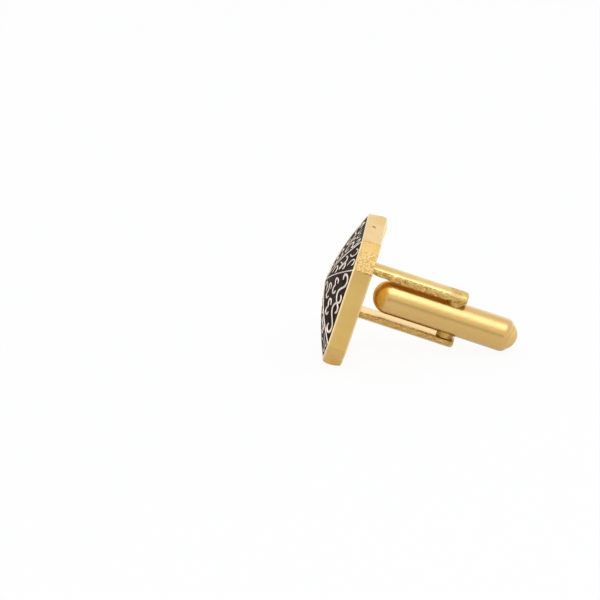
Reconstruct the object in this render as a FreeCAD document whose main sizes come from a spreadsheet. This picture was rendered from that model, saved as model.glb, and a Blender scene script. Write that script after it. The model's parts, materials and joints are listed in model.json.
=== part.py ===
import FreeCAD, Part
import math
import os

import Sketcher

# A cufflink: an octagonal cast head with eight domed enamel panels, two flat posts behind it,
# and a round toggle that swivels on a pin between the posts and clicks at every quarter turn.
# Millimetres. Each piece is drawn in the link's own frame: x to the right seen from the front,
# y from the head towards the toggle, z up the face. At the end the link is laid on the table.

SIZES = {
    # octagonal head
    "head_width": 16.0,
    "corner_cut": 2.9,
    "rim_depth": 2.25,
    "rim_round": 0.3,
    "back_chamfer": 0.15,
    "dome_rise": 2.6,
    "dome_power": 1.62,
    "crown_width": 0.5,
    # cells of the face
    "lip_width": 0.32,
    "ridge_width": 0.24,
    "enamel_depth": 0.25,
    "enamel_drop": 0.08,
    # posts
    "post_width": 2.5,
    "post_thickness": 1.1,
    "post_crown": 0.6,
    "post_clear": 0.45,
    "post_rise": 0.4,
    "post_end": 1.25,
    "end_round": 0.3,
    "socket_depth": 1.2,
    "socket_fit": 0.02,
    # pivot pin
    "pin_diameter": 1.3,
    "pin_fit": 0.01,
    "peen_flare": 0.3,
    "peen_depth": 0.3,
    "cam_cut": 0.15,
    "cam_clear": 0.05,
    # toggle barrel and its washers
    "barrel_diameter": 4.1,
    "long_arm": 9.75,
    "short_arm": 8.3,
    "swing_clear": 1.05,
    "barrel_wall": 0.8,
    "bore_past_pin": 1.3,
    "drill_point": 0.6,
    "mouth_wall": 0.5,
    "mouth_depth": 0.7,
    "mouth_round": 1.0,
    "swivel_fit": 0.03,
    "washer_diameter": 2.1,
    "spot_fit": 0.05,
    "spot_depth": 0.3,
    "washer_play": 0.04,
    # end plug
    "plug_rise": 0.85,
    "plug_fit": 0.015,
    # detent plunger and spring
    "plunger_length": 1.6,
    "plunger_chamfer": 0.2,
    "plunger_fit": 0.04,
    "plunger_lift": 0.02,
    "spigot_clear": 0.18,
    "spigot_length": 0.9,
    "wire_diameter": 0.24,
    "coil_clear": 0.23,
    "spring_play": 0.02,
}
COIL_TURNS = 4
WIRE_SIDES = 8
DOME_STATIONS = (1, 0.75, 0.5, 0.25)
PANEL_NAMES = (
    "top", "upper_right", "right", "lower_right", "bottom", "lower_left", "left", "upper_left",
)

# Sizes that follow from others: the toggle swings clear of the head, the posts clear the barrel,
# the bores leave the barrel its wall, and the detent fits the bore
PIVOT = "(long_arm+swing_clear)"
POST_GAP = "(barrel_diameter+2*post_clear)"
CROWN_BEND = "((post_width/2)^2+post_crown^2)/(2*post_crown)"
PEEN = "(pin_diameter+2*peen_flare)"
CAM_FLATS = "(pin_diameter-2*cam_cut)"
SPOT = "(washer_diameter+2*spot_fit)"
SPOT_LEVEL = "(barrel_diameter/2-spot_depth)"
BORE = "(barrel_diameter-2*barrel_wall)"
CAM_LENGTH = "(%s-2*cam_clear)" % BORE
MOUTH_BORE = "(barrel_diameter-2*mouth_wall)"
MOUTH = "(long_arm+short_arm-plug_rise)"
SEAT = "(%s-mouth_depth)" % MOUTH
ROLL = "sqrt(2*mouth_round*mouth_wall-mouth_wall^2)"
COIL = "(%s-2*coil_clear-wire_diameter)" % BORE
SPIGOT = "(%s-wire_diameter-2*spigot_clear)" % COIL

doc = FreeCAD.newDocument("cufflink")
sheet = doc.addObject("Spreadsheet::Sheet", "sizes")
for row, (alias, number) in enumerate(SIZES.items(), start=1):
    sheet.set("A%d" % row, alias)
    sheet.set("B%d" % row, str(number))
    sheet.setAlias("B%d" % row, alias)
doc.recompute()


def size(formula):
    """The value of a formula in the sheet's aliases."""
    return float(sheet.evalExpression(formula))


def bound(formula):
    """The same formula as another object reads it, with every alias taken from the sheet."""
    words = sorted(SIZES, key=len, reverse=True)
    for place, word in enumerate(words):
        formula = formula.replace(word, "<%d>" % place)
    for place, word in enumerate(words):
        formula = formula.replace("<%d>" % place, "sizes." + word)
    return formula


def bind(thing, **formulas):
    """Tie properties of an object to the sheet."""
    for name, formula in formulas.items():
        thing.setExpression(name, bound(formula))


def new_body(name):
    return doc.addObject("PartDesign::Body", name)


def plane_sketch(body, name, role, offset=None):
    """A sketch on one of a body's origin planes, moved along the plane's normal by a formula."""
    sketch = body.newObject("Sketcher::SketchObject", name)
    plane = next(f for f in body.Origin.OriginFeatures if f.Role == role)
    sketch.AttachmentSupport = [(plane, "")]
    sketch.MapMode = "FlatFace"
    if offset:
        sketch.setExpression("AttachmentOffset.Base.z", bound(offset))
    return sketch


def pin_down(sketch, edge, end, corner):
    """Hold one end of an edge at the corner's x and y formulas."""
    for kind, axis, formula in (("DistanceX", -2, corner[0]), ("DistanceY", -1, corner[1])):
        if formula == "0":
            sketch.addConstraint(Sketcher.Constraint("PointOnObject", edge, end, axis))
            continue
        place = sketch.addConstraint(
            Sketcher.Constraint(kind, -1, 1, edge, end, size(formula))
        )
        sketch.setExpression("Constraints[%d]" % place, bound(formula))


def outline(sketch, corners, rounds=None):
    """Draw a closed outline through corners given as pairs of formulas.

    rounds maps the number of an edge to the formulas of a point that it bulges through and of
    its radius; every other edge is straight.
    """
    rounds = rounds or {}
    points = [FreeCAD.Vector(size(x), size(y), 0) for x, y in corners]
    first, last = [], []
    for number, start in enumerate(points):
        stop = points[(number + 1) % len(points)]
        if number in rounds:
            through, radius = rounds[number]
            middle = FreeCAD.Vector(size(through[0]), size(through[1]), 0)
            edge = sketch.addGeometry(Part.Arc(start, middle, stop))
            forward = sketch.getPoint(edge, 1).distanceToPoint(start) < 1e-6
            place = sketch.addConstraint(Sketcher.Constraint("Radius", edge, size(radius)))
            sketch.setExpression("Constraints[%d]" % place, bound(radius))
        else:
            edge = sketch.addGeometry(Part.LineSegment(start, stop))
            forward = True
        first.append((edge, 1 if forward else 2))
        last.append((edge, 2 if forward else 1))
    for number, corner in enumerate(corners):
        joined = first[number] + last[number - 1]
        sketch.addConstraint(Sketcher.Constraint("Coincident", *joined))
        pin_down(sketch, *first[number], corner)
    return sketch


def rings(sketch, *diameters):
    """Circles about the sketch's origin."""
    for diameter in diameters:
        circle = Part.Circle(FreeCAD.Vector(), FreeCAD.Vector(0, 0, 1), size(diameter) / 2)
        edge = sketch.addGeometry(circle)
        sketch.addConstraint(Sketcher.Constraint("Coincident", edge, 3, -1, 1))
        place = sketch.addConstraint(Sketcher.Constraint("Diameter", edge, size(diameter)))
        sketch.setExpression("Constraints[%d]" % place, bound(diameter))
    return sketch


def revolve(body, sketch, name):
    """Turn a sketch about its own vertical axis."""
    turned = body.newObject("PartDesign::Revolution", name)
    turned.Profile = sketch
    turned.ReferenceAxis = (sketch, ["V_Axis"])
    turned.Angle = 360
    return turned


def cut_less(body, feature, before):
    """Make sure that a cut took something away."""
    doc.recompute()
    if body.Shape.Volume > before - 1e-6:
        raise RuntimeError(feature.Name + " cuts nothing")


# Head: an octagonal block under a dome whose eight sides are drawn in towards the crown

def octagon(sketch, width, cut):
    """A square of a given width with its corners cut off."""
    far = "(%s)/2" % width
    near = "((%s)/2-(%s))" % (width, cut)
    corners = [
        (near, far), (far, near), (far, "-" + near), (near, "-" + far),
        ("-" + near, "-" + far), ("-" + far, "-" + near), ("-" + far, near), ("-" + near, far),
    ]
    return outline(sketch, corners)


def level_edges(shape, level):
    """The names of a shape's edges that lie flat at one level along y."""
    return [
        "Edge%d" % number
        for number, edge in enumerate(shape.Edges, start=1)
        if all(abs(v.Y - level) < 1e-6 for v in edge.Vertexes)
    ]


def head_blank():
    """The head before its cells are sunk, from the back face up to the level of the ridges."""
    body = new_body("head_blank")
    base = octagon(plane_sketch(body, "head_outline", "XZ_Plane"), "head_width", "corner_cut")
    block = body.newObject("PartDesign::Pad", "head_block")
    block.Profile = base
    bind(block, Length="rim_depth")
    doc.recompute()
    bevel = body.newObject("PartDesign::Chamfer", "back_bevel")
    bevel.Base = (block, level_edges(block.Shape, 0))
    bind(bevel, Size="back_chamfer")
    sections = []
    for station in [str(s) for s in DOME_STATIONS] + ["crown_width/head_width"]:
        height = "rim_depth+dome_rise*(1-pow(%s;dome_power))" % station
        sketch = plane_sketch(body, "dome_section", "XZ_Plane", height)
        sections.append(
            octagon(sketch, "head_width*(%s)" % station, "corner_cut*(%s)" % station)
        )
    dome = body.newObject("PartDesign::AdditiveLoft", "dome")
    dome.Profile = sections[0]
    dome.Sections = sections[1:]
    doc.recompute()
    rim = body.newObject("PartDesign::Fillet", "rim_edge")
    rim.Base = (dome, level_edges(dome.Shape, -size("rim_depth")))
    bind(rim, Radius="rim_round")
    return body


def sunk_copy(name, blank, depth):
    """The blank's own form, moved back by a depth."""
    copy = doc.addObject("Part::Compound", name)
    copy.Links = [blank]
    copy.setExpression("Placement.Base.y", bound(depth))
    return copy


def upright_sketch(name):
    """A free sketch in the plane of the head's back, drawn in x and z."""
    sketch = doc.addObject("Sketcher::SketchObject", name)
    sketch.Placement = FreeCAD.Placement(
        FreeCAD.Vector(), FreeCAD.Rotation(FreeCAD.Vector(1, 0, 0), 90)
    )
    return sketch


def cell_sketch(name, apothem, run, rise):
    """A cell's triangle: a ridge runs out at run to rise on either side of the cell's middle."""
    tip = "ridge_width/2*sqrt((%s)^2+(%s)^2)/(%s)" % (run, rise, run)
    outer = "((%s)-lip_width)" % apothem
    half = "(%s-%s)*(%s)/(%s)" % (outer, tip, run, rise)
    corners = [("0", tip), (half, outer), ("-" + half, outer)]
    return outline(upright_sketch(name), corners)


def prism(name, sketch, length, turn):
    """A sketch drawn out towards the front, turned about the head's axis."""
    drawn = doc.addObject("Part::Extrusion", name)
    drawn.Base = sketch
    drawn.DirMode = "Normal"
    drawn.Solid = True
    bind(drawn, LengthFwd=length)
    drawn.Placement = FreeCAD.Placement(
        FreeCAD.Vector(), FreeCAD.Rotation(FreeCAD.Vector(0, 1, 0), turn)
    )
    return drawn


def boolean(kind, name, base, tool):
    made = doc.addObject("Part::" + kind, name)
    made.Base = base
    made.Tool = tool
    return made


def post_section(sketch, grow):
    """The D section of a post: flat towards the toggle, crowned outside, grown by a fit."""
    side = "(post_width/2+%s)" % grow
    inner = "(%s/2-%s)" % (POST_GAP, grow)
    shoulder = "(%s/2+post_thickness-post_crown+%s)" % (POST_GAP, grow)
    top = "(%s/2+post_thickness+%s)" % (POST_GAP, grow)
    radius = "(%s^2+post_crown^2)/(2*post_crown)" % side
    corners = [("-" + side, inner), (side, inner), (side, shoulder), ("-" + side, shoulder)]
    return outline(sketch, corners, {2: (("0", top), radius)})


def head_and_enamel():
    """The cast head with its sunk cells and post sockets, and the enamel that fills the cells."""
    blank = head_blank()
    floor = sunk_copy("cell_floor", blank, "enamel_depth+enamel_drop")
    glaze = sunk_copy("enamel_level", blank, "enamel_drop")
    side = cell_sketch("side_cell", "head_width/2", "head_width/2-corner_cut", "head_width/2")
    corner = cell_sketch(
        "corner_cell", "(head_width-corner_cut)/sqrt(2)", "corner_cut", "head_width-corner_cut"
    )
    cells, enamel = [], []
    for number, name in enumerate(PANEL_NAMES):
        outline_sketch = corner if number % 2 else side
        column = prism("column_" + name, outline_sketch, "rim_depth+dome_rise", 45 * number)
        cell = boolean("Cut", "cell_" + name, column, floor)
        cells.append(cell)
        enamel.append(boolean("Common", "enamel_" + name, cell, glaze))
    socket = post_section(upright_sketch("socket_section"), "socket_fit")
    for name, turn in (("upper_socket", 0), ("lower_socket", 180)):
        sunk = prism(name, socket, "socket_depth", turn)
        bind(sunk, **{"Placement.Base.z": "post_rise"})
        cells.append(sunk)
    hollows = doc.addObject("Part::MultiFuse", "cells_and_sockets")
    hollows.Shapes = cells
    return [boolean("Cut", "head_casting", blank, hollows)] + enamel


# Posts and the riveted pin

def post(name):
    """A flat post with a crowned outer face, from its socket to just past the pin."""
    body = new_body(name)
    section = post_section(plane_sketch(body, "section", "XZ_Plane", "socket_depth"), "0")
    strip = body.newObject("PartDesign::Pad", "strip")
    strip.Profile = section
    strip.Reversed = True
    bind(strip, Length="socket_depth+post_end+" + PIVOT)
    doc.recompute()
    uprights = [
        name for name in level_edges(strip.Shape, size("post_end+" + PIVOT))
        if strip.Shape.getElement(name).BoundBox.XLength < 1e-6
    ]
    eased = body.newObject("PartDesign::Fillet", "end_corners")
    eased.Base = (strip, uprights)
    bind(eased, Radius="end_round")
    doc.recompute()
    solid = body.Shape.Volume
    profile = plane_sketch(body, "rivet_hole", "YZ_Plane")
    hole = "(%s+pin_diameter/2+pin_fit)" % PIVOT
    mouth = "(%s+%s/2+pin_fit)" % (PIVOT, PEEN)
    inner = "(%s/2)" % POST_GAP
    outer = "(%s/2+post_thickness)" % POST_GAP
    above = "(%s+peen_depth)" % outer
    corners = [
        (PIVOT, inner), (hole, inner), (hole, outer + "-peen_depth"),
        (mouth, outer), (mouth, above), (PIVOT, above),
    ]
    outline(profile, corners)
    bore = body.newObject("PartDesign::Groove", "rivet_bore")
    bore.Profile = profile
    bore.ReferenceAxis = (profile, ["Edge6"])
    bore.Angle = 360
    cut_less(body, bore, solid)
    return body


def pivot_pin():
    """The pin, peened out at both ends and filed flush with the posts' crowns, with four flats in
    the middle for the detent."""
    body = new_body("pivot_pin")
    length = "(%s+2*post_thickness)" % POST_GAP
    shank, head = "pin_diameter/2", PEEN + "/2"
    corners = [
        ("0", "0"), (head, "0"), (shank, "peen_depth"), (shank, length + "-peen_depth"),
        (head, length), ("0", length),
    ]
    profile = outline(plane_sketch(body, "pin_profile", "XZ_Plane"), corners)
    revolve(body, profile, "turned_pin")
    doc.recompute()
    solid = body.Shape.Volume
    waste = plane_sketch(body, "waste_section", "XZ_Plane")
    for end, inward, outward in (("0", "+", "-"), (length, "-", "+")):
        shoulder, beyond = end + inward + "post_crown", end + outward + "post_crown"
        corners = [
            ("-post_width/2", shoulder), ("post_width/2", shoulder),
            ("post_width/2", beyond), ("-post_width/2", beyond),
        ]
        outline(waste, corners, {0: (("0", end), CROWN_BEND)})
    filed = body.newObject("PartDesign::Pocket", "filed_ends")
    filed.Profile = waste
    filed.SideType = "Symmetric"
    bind(filed, Length="2*post_width")
    cut_less(body, filed, solid)
    solid = body.Shape.Volume
    cam = plane_sketch(body, "cam_section", "XY_Plane", "(%s-%s)/2" % (length, CAM_LENGTH))
    for half in ("pin_diameter", CAM_FLATS + "/2"):
        low_side = "-" + half
        outline(cam, [(half, half), (low_side, half), (low_side, low_side), (half, low_side)])
    flats = body.newObject("PartDesign::Pocket", "cam_flats")
    flats.Profile = cam
    flats.Reversed = True
    bind(flats, Length=CAM_LENGTH)
    cut_less(body, flats, solid)
    return body


# Toggle: a drawn barrel closed by a domed plug, with the detent inside

def toggle_barrel():
    """The barrel, from its domed end to its rolled mouth, bored and spot-faced for the pin."""
    body = new_body("toggle_barrel")
    radius, bore, mouth = "barrel_diameter/2", BORE + "/2", MOUTH_BORE + "/2"
    lean = "barrel_diameter/2*sqrt(0.5)"
    share = "mouth_wall/(2*mouth_round)"
    drawn_in = "mouth_round*(1-sqrt(1-%s))" % share
    drawn_on = "mouth_round*sqrt(%s)" % share
    roll_start = "%s-%s" % (MOUTH, ROLL)
    bottom = "(long_arm-bore_past_pin)"
    corners = [
        ("0", "0"), (radius, radius), (radius, roll_start), (mouth, MOUTH), (mouth, SEAT),
        (bore, SEAT), (bore, bottom), ("0", bottom + "-drill_point"),
    ]
    rounds = {
        0: ((lean, radius + "-" + lean), radius),
        2: (("%s-%s" % (radius, drawn_in), "%s+%s" % (roll_start, drawn_on)), "mouth_round"),
    }
    profile = outline(plane_sketch(body, "barrel_profile", "XY_Plane"), corners, rounds)
    revolve(body, profile, "turned_barrel")
    doc.recompute()
    solid = body.Shape.Volume
    hole = "(long_arm+pin_diameter/2+swivel_fit)"
    spot = "(long_arm+%s/2)" % SPOT
    low = "-" + SPOT_LEVEL
    corners = [
        ("long_arm", "-" + radius), (spot, "-" + radius), (spot, low), (hole, low),
        (hole, SPOT_LEVEL), (spot, SPOT_LEVEL), (spot, radius), ("long_arm", radius),
    ]
    cross = outline(plane_sketch(body, "cross_hole", "YZ_Plane"), corners)
    bored = body.newObject("PartDesign::Groove", "cross_bore")
    bored.Profile = cross
    bored.ReferenceAxis = (cross, ["Edge8"])
    bored.Angle = 360
    cut_less(body, bored, solid)
    return body


def washer(name):
    """A washer between the barrel's spot face and a post."""
    body = new_body(name)
    section = plane_sketch(body, "washer_section", "XY_Plane", SPOT_LEVEL)
    rings(section, "washer_diameter", "pin_diameter+2*swivel_fit")
    disc = body.newObject("PartDesign::Pad", "disc")
    disc.Profile = section
    bind(disc, Length="%s/2-washer_play-%s" % (POST_GAP, SPOT_LEVEL))
    return body


def end_plug():
    """The domed plug that closes the barrel's mouth, standing on the step inside it."""
    body = new_body("end_plug")
    side = "(%s/2-plug_fit)" % MOUTH_BORE
    dome = "(%s^2+plug_rise^2)/(2*plug_rise)" % side
    near = "%s*0.7" % side
    drop = "(%s-sqrt((%s)^2-(%s)^2))" % (dome, dome, near)
    corners = [("0", "0"), (side, "0"), (side, "mouth_depth"), ("0", "mouth_depth+plug_rise")]
    rounds = {2: ((near, "mouth_depth+plug_rise-" + drop), dome)}
    profile = outline(plane_sketch(body, "plug_profile", "XY_Plane"), corners, rounds)
    revolve(body, profile, "turned_plug")
    return body


def detent_plunger():
    """The plunger that rides on the pin's flats, with a spigot that holds the spring."""
    body = new_body("detent_plunger")
    side = "(%s/2-plunger_fit)" % BORE
    spigot = SPIGOT + "/2"
    tail = "plunger_length+spigot_length"
    corners = [
        ("0", "0"), (side + "-plunger_chamfer", "0"), (side, "plunger_chamfer"),
        (side, "plunger_length"), (spigot, "plunger_length"), (spigot, tail), ("0", tail),
    ]
    profile = outline(plane_sketch(body, "plunger_profile", "XY_Plane"), corners)
    revolve(body, profile, "turned_plunger")
    return body


def arc_edge(start, control, stop):
    """The arc from start to stop whose end tangents meet at control."""
    weight = start.distanceToPoint(stop) / (2 * start.distanceToPoint(control))
    middle = (start + control * (2 * weight) + stop) * (1 / (2 + 2 * weight))
    return Part.Arc(start, middle, stop).toShape()


def biarc(start, leaving, stop, arriving):
    """Two arcs that leave start and reach stop along the given unit directions."""
    span = stop - start
    both = leaving + arriving
    spare = 4 - both.dot(both)
    along = span.dot(both)
    reach = (math.sqrt(along * along + spare * span.dot(span)) - along) / spare
    first = start + leaving * reach
    second = stop - arriving * reach
    middle = (first + second) * 0.5
    return [arc_edge(start, first, middle), arc_edge(middle, second, stop)]


def detent_spring():
    """A coil spring along y, one unbroken eight-sided wire laid on biarcs of half a turn."""
    wire, coil = size("wire_diameter"), size(COIL)
    room = size(SEAT + "-long_arm-pin_diameter/2-plunger_lift-plunger_length")
    rise = room - wire - 2 * size("spring_play")
    begin = wire / 2 + size("spring_play")

    def place(turns):
        angle = 2 * math.pi * turns
        height = begin + rise * turns / COIL_TURNS
        return FreeCAD.Vector(coil / 2 * math.cos(angle), height, coil / 2 * math.sin(angle))

    def heading(turns):
        angle = 2 * math.pi * turns
        round_speed = math.pi * coil
        way = FreeCAD.Vector(
            -round_speed * math.sin(angle), rise / COIL_TURNS, round_speed * math.cos(angle)
        )
        return way.normalize()

    edges = []
    for half in range(2 * COIL_TURNS):
        here, there = half / 2, (half + 1) / 2
        edges += biarc(place(here), heading(here), place(there), heading(there))
    outward = FreeCAD.Vector(wire / 2, 0, 0)
    corners = []
    for side in range(WIRE_SIDES + 1):
        about = FreeCAD.Rotation(heading(0), 360 * side / WIRE_SIDES)
        corners.append(place(0) + about.multVec(outward))
    tube = Part.Wire(edges).makePipeShell([Part.makePolygon(corners)], True, False)
    spring = doc.addObject("Part::Feature", "detent_spring")
    spring.Shape = tube
    samples = [place(step / 48) for step in range(48 * COIL_TURNS + 1)]
    gap = min(
        near.distanceToPoint(far)
        for number, near in enumerate(samples)
        for far in samples[number + 24:]
    )
    print("least gap between the spring's turns: %.3f mm" % (gap - wire))
    return spring


# Assembly: every piece in the link's frame, then the whole link laid down to rest

def shifted(y, z, turn=0):
    """A place behind the head, half-turned about y if asked."""
    return FreeCAD.Placement(
        FreeCAD.Vector(0, size(y), size(z)), FreeCAD.Rotation(FreeCAD.Vector(0, 1, 0), turn)
    )


def rest_tilt():
    """How far the posts dip, in degrees, when the link lies on the head's lower back edge and
    on the rolled mouth of the toggle."""
    back = size("swing_clear+back_chamfer+%s-%s" % (MOUTH, ROLL))
    up = size("head_width/2+post_rise-(barrel_diameter/2-mouth_round)")
    reach = math.hypot(back, up)
    return math.degrees(math.acos(size("mouth_round") / reach) - math.atan2(back, up))


behind = shifted("0", "post_rise")
flipped = shifted("0", "post_rise", 180)
pivot = shifted(PIVOT, "post_rise")
under_pivot = shifted(PIVOT, "post_rise", 180)
pin_foot = "post_rise-%s/2-post_thickness" % POST_GAP
cam_face = PIVOT + "+pin_diameter/2+plunger_lift"

pieces = [(piece, FreeCAD.Placement()) for piece in head_and_enamel()]
pieces += [
    (post("upper_post"), behind),
    (post("lower_post"), flipped),
    (pivot_pin(), shifted(PIVOT, pin_foot)),
    (toggle_barrel(), shifted("swing_clear", "post_rise")),
    (end_plug(), shifted("swing_clear+" + SEAT, "post_rise")),
    (washer("upper_washer"), pivot),
    (washer("lower_washer"), under_pivot),
    (detent_plunger(), shifted(cam_face, "post_rise")),
    (detent_spring(), shifted(cam_face + "+plunger_length", "post_rise")),
]
doc.recompute()

dip = FreeCAD.Rotation(FreeCAD.Vector(1, 0, 0), -rest_tilt())
box = FreeCAD.BoundBox()
for piece, place in pieces:
    tilted = FreeCAD.Placement(FreeCAD.Vector(), dip).multiply(place)
    posed = piece.Shape.copy()
    posed.Placement = tilted
    box.add(posed.optimalBoundingBox(False))
laid = FreeCAD.Placement(FreeCAD.Vector(-box.Center.x, -box.Center.y, -box.ZMin), dip)
for piece, place in pieces:
    piece.Label = piece.Name
    piece.Placement = laid.multiply(place)
doc.recompute()

for thing in doc.Objects:
    if "Invalid" in thing.State or "Error" in thing.State:
        raise RuntimeError("%s failed: %s" % (thing.Name, thing.State))
os.makedirs("parts", exist_ok=True)
for piece, place in pieces:
    if piece.Shape.isNull() or not piece.Shape.isValid():
        raise RuntimeError(piece.Label + " has no sound shape")
    piece.Shape.exportStep("parts/%s.step" % piece.Label)
print("tilt %.4f degrees" % rest_tilt())
print("back of the head at", laid.Base)
print("pivot at", laid.multiply(pivot).Base)
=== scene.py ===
import json
import math

import bmesh
import bpy
from mathutils import Matrix, Vector, noise
from mathutils.kdtree import KDTree


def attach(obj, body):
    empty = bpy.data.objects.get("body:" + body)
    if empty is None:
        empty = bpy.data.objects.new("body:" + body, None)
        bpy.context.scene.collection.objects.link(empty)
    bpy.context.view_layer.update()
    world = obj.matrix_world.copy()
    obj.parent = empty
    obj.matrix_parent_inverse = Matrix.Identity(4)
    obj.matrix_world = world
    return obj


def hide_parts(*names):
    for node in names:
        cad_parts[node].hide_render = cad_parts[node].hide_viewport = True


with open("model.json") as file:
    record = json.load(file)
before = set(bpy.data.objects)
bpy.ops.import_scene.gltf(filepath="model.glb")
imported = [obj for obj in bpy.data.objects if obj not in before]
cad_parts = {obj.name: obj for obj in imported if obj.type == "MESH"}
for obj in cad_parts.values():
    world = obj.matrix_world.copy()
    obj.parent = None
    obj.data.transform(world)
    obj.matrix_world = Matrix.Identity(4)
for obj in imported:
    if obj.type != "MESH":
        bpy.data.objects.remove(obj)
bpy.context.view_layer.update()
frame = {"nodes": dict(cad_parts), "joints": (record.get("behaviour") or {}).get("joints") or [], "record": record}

scene = bpy.context.scene

# Lengths are millimetres in the link's own frame, apart from those of the floor and the lamps:
# x runs across the face, y from the face towards the toggle and z up the face
MM = 0.001

# Height of the posts' and the toggle's middle above the head's middle
POST_RISE = 0.4

# Head: an octagon, a rounded rim and eight panels that rise in a dome; a share is how far out from the
# centre something lies
CORNER_CUT = 2.9
RIM_DEPTH = 2.25
RIM_ROUND = 0.3
RIM_STEPS = 6
BACK_ROUND = 0.17
BACK_STEPS = 3
CORNER_EASE = 0.004
DOME_RISE = 2.6
DOME_POWER = 1.62
DOME_STEPS = 28
LIP_WIDTH = 0.28
HUB_SHARE = 0.016
CROWN_SHARE = 0.006
SIDE_STEPS = 12

# Ridges between the panels: distance from the ridge's middle and height above its level, and the share
# of a panel's half width that its ridges may take near the hub
RIDGE_SECTION = ((0, 0.03), (0.03, 0.024), (0.06, -0.002), (0.08, -0.05), (0.1, -0.25))
RIDGE_FOOT = RIDGE_SECTION[-1][0]
RIDGE_ROOM = 0.95
CELL_DRAFT = 0.03

# Casting: the rim's unevenness, the filed stub of the gate on the back edge of the top wall, the hump at
# that wall's far end, the sag at the bottom wall's near end, and the wall's rings that follow them
RIM_WOBBLE = 0.03
WOBBLE_PITCH = 0.6
GATE_RISE = 0.28
GATE_MIDDLE = -1.3
GATE_HALF = 3.6
GATE_REACH = 0.6
HUMP_RISE = 0.2
HUMP_START = 2.6
HUMP_REACH = 1.4
SAG_DROP = 0.3
SAG_LENGTH = 2.7
WALL_RINGS = 4
WALL_STEP = 0.35

# Casting pits in the top wall: x, y, radius of the floor, radius of the edge, and darkness of the shade painted in
# them, as a share
PITS = ((-0.85, -1.4, 0.12, 0.26, 1), (-0.5, -1.26, 0.04, 0.2, 1), (2.1, -0.7, 0.02, 0.09, 0.6))

# Enamel: it lies below the ridges and creeps up whatever it meets
ENAMEL_DROP = 0.08
ENAMEL_DEPTH = 0.17
ENAMEL_POINT = 0.03
ENAMEL_COLUMNS = 64
ENAMEL_ROWS = 72
CREEP_RISE = 0.045
CREEP_REACH = 0.14
SLUMP = 0.012

# Posts: a flat inner face, a crowned outer face that falls towards the end, and torn sheared sides
POST_CROWN = 0.6
POST_ROUND = 0.1
END_ROUND = 0.4
END_FALL = 0.35
POST_STEPS = 84
END_STEPS = 5
CROWN_STEPS = 14
SIDE_CUTS = 5
SIDE_LUMP = 0.12
SIDE_REACH = 0.25
CORNER_LUMP = 0.09
CROWN_LUMP = 0.012
LUMP_PITCH = 1.9
LUMP_SHIFT = 9
LUMP_GRAIN = (0.6, 2.0, 4)

# Burr along the upper post's inner edges: how far it hangs, where along the post it is full, and how far
# from the post's sides it starts and is full
BURR_DROP = 0.18
BURR_START = 3.5
BURR_FOOT = 0.17
BURR_FULL = 0.07

# Where the pin's end was hammered flush with the upper post
PEEN_PLACE = (0.2, 10.6, POST_RISE + 3.5)

# Toggle: a turned barrel with a hemispherical end and a rolled mouth, and the plug in that mouth
MOUTH_WALL = 0.5
MOUTH_ROUND = 1.0
MOUTH_DEPTH = 0.7
BARREL_WALL = 0.8
BORE_PAST_PIN = 1.3
DRILL_POINT = 0.6
SPOT_RADIUS = 1.1
SPOT_DEPTH = 0.3
PIN_HOLE = 0.68
DRILL_PAST = 1
PLUG_RISE = 0.85
TURN_STEPS = 96
DRILL_STEPS = 48
DOME_ARC_STEPS = 24
MOUTH_ARC_STEPS = 12
PLUG_ARC_STEPS = 16
BARREL_STEPS = 60

# Edges that bend by more than this many degrees show as sharp
SHARP_BEND = 32
SOFT_BEND = 60
SCROLL_BEND = 50

# Scrolls: how the beads along the lines rise, taper and swell
BEAD_RISE = 0.085
BEAD_WIDTH = 0.77
BEAD_END = 0.5
BEAD_THIN = 0.92
BEAD_SWELL = 0.3
BEAD_BEND = 0.8
BEAD_SIDES = 2
BEAD_STEPS = 5

# Scroll lines: a width, and the points that the line's middle passes, right of and above the face's centre
LONG_S = (0.39, (
    (6.28, 2.93), (6.20, 3.31), (6.42, 3.66), (6.79, 3.74), (7.19, 3.51), (7.33, 3.07), (7.21, 2.57),
    (6.83, 2.14), (6.37, 1.70), (6.04, 1.20), (6.03, 0.73), (6.28, 0.29), (6.63, 0.0), (7.04, -0.23),
    (7.24, -0.58), (7.19, -0.94), (6.96, -1.17),
))
OUTER_THREE = (0.33, (
    (5.28, 1.90), (5.17, 2.21), (4.84, 2.32), (4.49, 2.17), (4.42, 1.87), (4.61, 1.55), (4.68, 1.35),
    (4.46, 0.97), (4.49, 0.61), (4.79, 0.41), (5.14, 0.61), (5.30, 0.91),
))
INNER_THREE = (0.33, (
    (3.76, 0.44), (3.65, 0.80), (3.35, 0.95), (3.03, 0.79), (2.97, 0.47), (3.16, 0.15), (3.19, -0.06),
    (2.97, -0.44), (3.00, -0.73), (3.27, -0.91), (3.56, -0.79), (3.82, -0.53),
))
SIDE_ARCH = (0.28, (
    (2.30, -0.50), (2.33, -0.15), (2.09, 0.26), (1.69, 0.41), (1.30, 0.26), (1.19, 0.03), (1.33, -0.20),
))
LYING_S = (0.36, (
    (2.58, 6.68), (2.65, 7.00), (3.09, 7.30), (3.49, 7.13), (3.63, 6.69), (3.39, 6.22), (2.88, 5.94),
    (2.28, 6.02), (1.67, 6.12), (1.13, 5.98), (0.79, 5.58), (0.74, 5.14), (0.99, 4.80), (1.40, 4.68),
    (1.77, 4.87), (1.89, 5.27),
))
CUP = (0.25, (
    (1.70, 7.16), (1.40, 6.83), (0.99, 6.59), (0.59, 6.66), (0.38, 6.93), (0.52, 7.20),
))
BRACKET = (0.28, (
    (0.43, 6.05), (0.09, 6.22), (-0.25, 5.95), (-0.32, 5.61), (-0.18, 5.27), (-0.05, 5.07),
))
HEART_HALF = (0.34, (
    (0.45, 3.82), (0.72, 4.06), (1.13, 4.02), (1.47, 3.72), (1.50, 3.32), (1.20, 2.88), (0.72, 2.81),
    (0.32, 2.98), (0.0, 3.21),
))
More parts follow.
